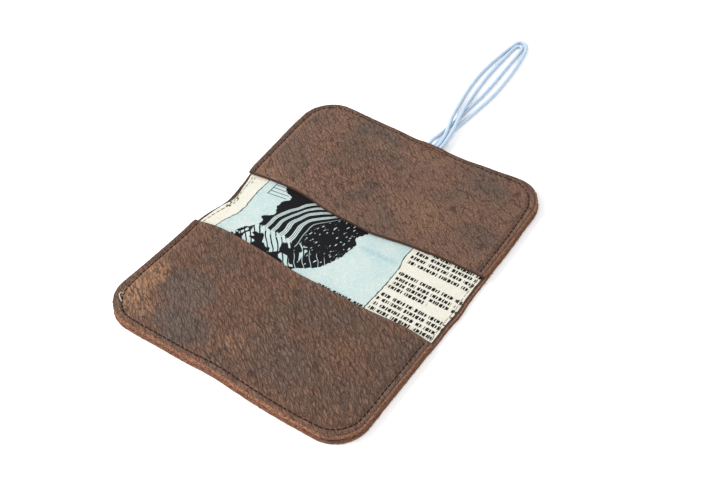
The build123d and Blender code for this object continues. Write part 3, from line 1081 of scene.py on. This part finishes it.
def seam_places(inset, start, end):
    """Places and directions of stitches round a leaf at an inset from its outline.

    y is out from the spine. start and end are the distances from it at the left and at the right.
    """
    width, length, radius = HALF_WIDTH - inset, LEAF_LENGTH - inset, CORNER_RADIUS - inset
    turns = np.radians(np.arange(0, 91, 3))
    left = [(-width + radius * (1 - math.cos(t)), length - radius * (1 - math.sin(t))) for t in turns]
    right = [(-x, y) for x, y in reversed(left)]
    path = np.array([(-width, start), *left, *right, (width, end)])
    along = lengths_along(path)
    count = int(along[-1] / STITCH_PITCH)
    middles = (np.arange(count) + 0.5) * along[-1] / count
    (x, y), (ahead_x, ahead_y) = [
        [np.interp(places, along, line) for line in path.T] for places in (middles, middles + 0.2)
    ]
    return x, y, np.arctan2(ahead_y - y, ahead_x - x)


def stitch(place, angle, kind, rng, faded=0.0):
    """One stitch: a short thread that dives into the leather at both ends."""
    length, radius, rise = kind
    angle += rng.uniform(-0.07, 0.07)
    length *= rng.uniform(0.92, 1.06)
    x, y, z = place
    line = []
    for share in (-1.0, -0.8, -0.45, 0.0, 0.45, 0.8, 1.0):
        height = rise * (1 - share ** 4) - radius * 0.5
        reach = share * length / 2
        line.append((x + reach * math.cos(angle), y + reach * math.sin(angle), z + height))

    def taper(along, turn):
        share = along / along.max()
        return radius * (0.62 + 0.38 * np.sin(math.pi * share) ** 0.5)

    points, faces, rest = tube(line, taper, 8)
    return points, faces, rest + (0.0, 0.0, faded)


def make_pocket_thread(side, material, rng):
    """The seam round a pocket."""
    leaf = LEAVES[side]
    start, end = [leaf["mouth"](x) + 0.9 for x in (-HALF_WIDTH, HALF_WIDTH)]
    x, y, angles = seam_places(SEAM_INSET, start, end)
    top, _, _ = panel_surface(side, x, y, np.full_like(x, SEAM_INSET), y - start + 2)
    parts = []
    for *place, angle in zip(*panel_place(side, x, y), top, angles):
        kind = FAR_END_STITCH if place[1] > 70 else POCKET_STITCH
        parts.append(stitch(place, angle * leaf["sign"], kind, rng))
    thread = joined_piece(side + "_pocket_thread", parts, material)
    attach(thread, side + "_leaf")
    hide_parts(side + "_seam_stitches")


# Where the thread was fastened off beside the spine: x, y and angle
KNOTS = (
    (-53.6, 2.9, 0.7), (-54.4, -0.4, 0.2), (-53.7, -2.3, 0.9), (-54.6, -3.0, 2.2), (57.6, 13.8, 0.4),
    (59.0, 4.3, 1.0), (58.6, -0.4, 0.3), (59.2, -3.6, 0.8), (58.8, -8.2, 0.2),
)


def make_lining_thread(material, rng):
    """The stitches along the lining's two side edges, across the spine."""
    parts = []
    for edge in (-1, 1):
        x_edge = edge * (HALF_WIDTH - SEAM_INSET)
        low, high = -NEAR_MOUTH(x_edge) + 0.9, FAR_MOUTH(x_edge) - 0.9
        count = int((high - low) / STITCH_PITCH)
        y = low + (np.arange(count) + 0.5) * (high - low) / count
        x = np.full_like(y, x_edge + edge * 0.5)
        real_x, real_y = cut_by_hand(x, y)
        ahead_x, ahead_y = cut_by_hand(x, y + 0.2)
        angles = np.arctan2(ahead_y - real_y, ahead_x - real_x)
        for px, py, angle in zip(real_x, real_y, angles):
            parts.append(stitch((px, py, LINING_TOP), angle, LINING_STITCH, rng, 0.85))
            if edge < 0 and (-4 < py < 3 or py > 13):
                second = (px + 1.1, py + 0.7, LINING_TOP)
                parts.append(stitch(second, angle + 0.1, SECOND_STITCH, rng, 0.5))
    for px, py, angle in KNOTS:
        parts.append(stitch((px, py, LINING_TOP), angle, KNOT, rng))
    thread = joined_piece("lining_thread", parts, material)
    bend_at_spine(thread)
    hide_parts("near_gutter_stitches", "far_gutter_stitches")


def make_underside_thread(material, rng):
    """The same seam under the outer hide, lying in its groove."""
    parts = []
    for sign in (-1, 1):
        x, y, angles = seam_places(SEAM_INSET, 0.0, 0.0)
        for px, py, angle in zip(*cut_by_hand(x, y * sign), angles):
            parts.append(stitch((px, py, 0.26), angle * sign, UNDERSIDE_STITCH, rng))
    bend_at_spine(joined_piece("underside_thread", parts, material, lowest=0.03))


def make_tacks(material, rng):
    """Extra rows of stitches that hold the elastic's ends."""
    low, high = cad_box("elastic_bar_tacks")
    parts = []
    for inset in TACK_INSETS:
        x = np.arange(low[0] + 0.7, high[0], TACK_PITCH)
        y = np.full_like(x, LEAF_LENGTH - inset)
        top, _, _ = panel_surface("far", x, y, np.full_like(x, inset), y - MOUTH_BASE)
        for px, py, pz in zip(*cut_by_hand(x, y), top):
            angle = rng.uniform(-0.25, 0.25)
            parts.append(stitch((px, py + rng.uniform(-0.2, 0.2), pz), angle, TACK, rng))
    tacks = joined_piece("elastic_tacks", parts, material)
    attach(tacks, "far_leaf")
    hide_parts("elastic_bar_tacks")


def make_elastic_ends(material):
    """The loops' four ends, pressed flat between the hides."""
    parts = []
    level = cad_box("elastic_tails")[0][2] + 0.6
    sides = 14
    for route in (OUTER_ROUTE, INNER_ROUTE):
        for exit_point in (route[0], route[-1]):
            x, y, z = np.array(exit_point) / MM
            inwards = np.linspace(0, TAIL_RUN, 18)
            line = [(x, y + 0.2 - t, z + (level - z) * min(t / 4, 1)) for t in inwards]
            points, faces, rest = tube(line, lambda along, turn: CORD_RADIUS * 0.97, sides)
            flat = smooth_step(y - points[:, 1], 0.2, 3.0) * 0.34
            middle = np.repeat(np.array(line)[:, 2], sides)
            points[:, 2] = middle + (points[:, 2] - middle) * (1 - flat)
            parts.append((points, faces, rest))
    ends = joined_piece("elastic_ends", parts, material)
    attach(ends, "far_leaf")
    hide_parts("elastic_tails")


# ---- loose fibres and thread ends


def fibre_material():
    shader = Shader("edge_fibres")
    tone = shader.noise(shader.stored("rest"), 2.0, 3.0)
    shader.colour = (0.12, 0.05, 0.026)
    shader.layer(tone.step(0.35, 0.65), (0.33, 0.17, 0.10))
    return shader.finish(0.75 + tone * 0.2, 0.2)


def fibre_radius(along, turn):
    return 0.045 * (1.15 - along / along.max())


def make_edge_fibres(side, material, rng):
    """Short fibres that stand out of the raw cut edges of a leaf."""
    sign = LEAVES[side]["sign"]
    end_reach = HALF_WIDTH - CORNER_RADIUS * 0.4
    parts = []
    for _ in range(FIBRES_PER_LEAF):
        if side == "near" and rng.random() < 0.62:
            x, y = rng.uniform(-end_reach, end_reach), LEAF_LENGTH
        else:
            x = HALF_WIDTH if rng.random() < 0.8 else -HALF_WIDTH
            y = rng.uniform(19, LEAF_LENGTH - CORNER_RADIUS * 0.5)
        x, y = round_corners(np.array(x), np.array(y), 0.0)
        out_x, out_y, _ = outward(x, y)
        px, py = cut_by_hand(x, y * sign)
        # from the lower hide, or from the upper one
        z = rng.uniform(0.5, 1.6) if rng.random() < 0.5 else rng.uniform(2.6, 3.7)
        skew = rng.uniform(-0.9, 0.9)
        reach = rng.uniform(0.25, 0.75)
        line = []
        for t in (-0.35, 0.2, 0.6, 1.0):
            line.append((
                px + (out_x - out_y * skew * t) * reach * t,
                py + (out_y + out_x * skew * t) * sign * reach * t,
                z + rng.uniform(-0.1, 0.1) * t,
            ))
        points, faces, _ = tube(line, fibre_radius, 4)
        parts.append((points, faces, points))
    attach(joined_piece(side + "_edge_fibres", parts, material), side + "_leaf")


# The loose end's points: x, y, and height above the pocket
LOOSE_END = (
    (-56.6, -65.0, 0.12), (-57.8, -65.4, 0.32), (-57.8, -66.4, 0.32), (-56.8, -67.2, 0.22),
    (-55.6, -68.0, 0.17), (-54.4, -68.5, 0.12),
)


def make_loose_end(material):
    """A loose end of thread, hooked over the seam at the near left corner."""
    line = np.array(LOOSE_END) + (0.0, 0.0, STACK_TOP)
    points, faces, rest = tube(line, lambda along, turn: 0.26, 8)
    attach(new_piece("loose_thread", points, faces, material, rest), "near_leaf")


# ---- build

rng = random.Random(7)
near_leather = leather("near_leather", NEAR_BROWN, NEAR_TAN, NEAR_GREY, NEAR_GRAIN)
far_leather = leather("far_leather", FAR_BROWN, FAR_TAN, FAR_GREY, FAR_GRAIN)
hide_leather = leather(
    "hide_leather", NEAR_BROWN, NEAR_TAN + FAR_TAN, NEAR_GREY + FAR_GREY, HIDE_GRAIN
)
brown_thread = thread_material("brown_thread", (0.010, 0.005, 0.004), (0.026, 0.012, 0.008))
tack_thread = thread_material("tack_thread", (0.020, 0.009, 0.006), (0.200, 0.075, 0.045))
pale_thread = thread_material("pale_thread", (0.34, 0.32, 0.26), (0.52, 0.50, 0.44))
edge_fibres = fibre_material()

make_hide(hide_leather)
make_lining(lining_material())
make_panel("near", near_leather)
make_panel("far", far_leather)
for side in LEAVES:
    make_pocket_thread(side, brown_thread, rng)
make_lining_thread(brown_thread, rng)
make_underside_thread(brown_thread, rng)
make_tacks(tack_thread, rng)
make_elastic_ends(elastic)
for side in LEAVES:
    make_edge_fibres(side, edge_fibres, rng)
make_loose_end(pale_thread)

# ---- stage

# Lights: place in metres, size and power
LIGHTS = {
    "key_light": ((-0.75, -0.40, 0.66), 0.5, 13.0),
    "fill_light": ((0.45, -0.45, 0.95), 1.0, 7.0),
}
SURROUNDINGS = 0.80              # brightness
FLOOR_REACH = 3.0


def make_floor():
    """A plain pale floor."""
    mesh = bpy.data.meshes.new("floor")
    corners = [(x * FLOOR_REACH, y * FLOOR_REACH, 0) for x, y in ((-1, -1), (1, -1), (1, 1), (-1, 1))]
    mesh.from_pydata(corners, [], [(0, 1, 2, 3)])
    shader = Shader("floor")
    tone = shader.noise(shader.node("ShaderNodeTexCoord").outputs["Object"], 0.4, 1.0)
    shader.colour = (0.90, 0.90, 0.90)
    shader.layer(tone, (0.92, 0.92, 0.92))
    mesh.materials.append(shader.finish(0.9, 0.5))
    add_object("floor", mesh)


def make_light(name, place, size, power):
    """A square softbox that faces the case."""
    data = bpy.data.lights.new(name, "AREA")
    data.size = size
    data.energy = power
    light = add_object(name, data)
    light.location = place
    light.rotation_mode = "QUATERNION"
    light.rotation_quaternion = (-Vector(place)).to_track_quat("-Z", "Y")


def make_world():
    """Even white surroundings."""
    world = bpy.data.worlds.new("world")
    world.use_nodes = True
    background = world.node_tree.nodes["Background"]
    background.inputs["Color"].default_value = (1, 1, 1, 1)
    background.inputs["Strength"].default_value = SURROUNDINGS
    bpy.context.scene.world = world


make_floor()
make_world()
for light_name, settings in LIGHTS.items():
    make_light(light_name, *settings)
bpy.context.scene.view_settings.view_transform = "Standard"
